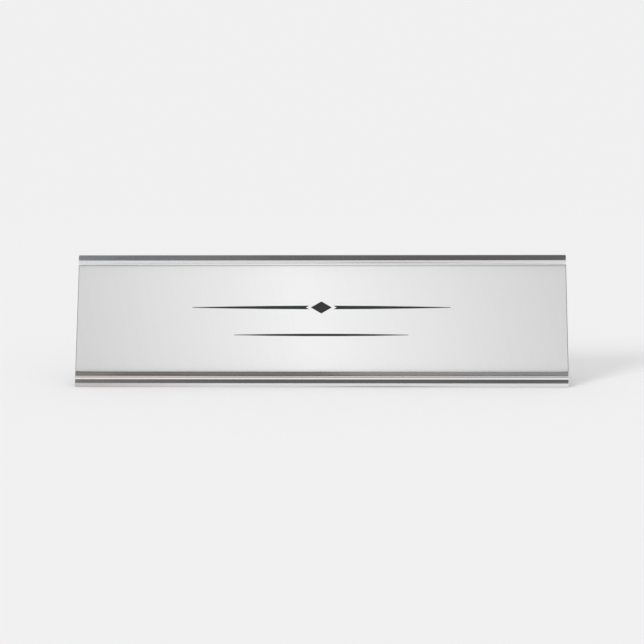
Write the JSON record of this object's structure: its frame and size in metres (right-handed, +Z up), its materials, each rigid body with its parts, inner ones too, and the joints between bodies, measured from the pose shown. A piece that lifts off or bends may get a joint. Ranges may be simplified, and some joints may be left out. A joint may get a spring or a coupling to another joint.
{
  "type": "desk name plate",
  "caption": "Desk name plate: a leaning bright aluminium extrusion with half-round rails holds a slide-in silver insert and stands on rubber pads.",
  "frame": {"origin": "on the desk, below the middle of the part's box", "axes": "+X along the plate to the reader's right, +Y away from the reader, +Z up"},
  "size_m": [0.254, 0.042, 0.0656],
  "materials": {
    "holder_metal": "bright polished",
    "insert_core": "satin",
    "insert_cap": "satin silver",
    "grip_foam": "matte closed-cell foam",
    "foot_rubber": "matte"
  },
  "bodies": {
    "holder": {"holder": "holder_metal", "grip_pad_left": "grip_foam", "grip_pad_right": "grip_foam", "foot_pad_front_left": "foot_rubber", "foot_pad_front_right": "foot_rubber", "foot_pad_rear_left": "foot_rubber", "foot_pad_rear_right": "foot_rubber"},
    "insert": {"insert_core": "insert_core", "insert_cap": "insert_cap"}
  },
  "joints": [
    {"name": "insert_slide", "type": "slide", "parent": "holder", "child": "insert", "axis": [1, 0, 0], "range_m": [-0.234, 0.234]}
  ]
}
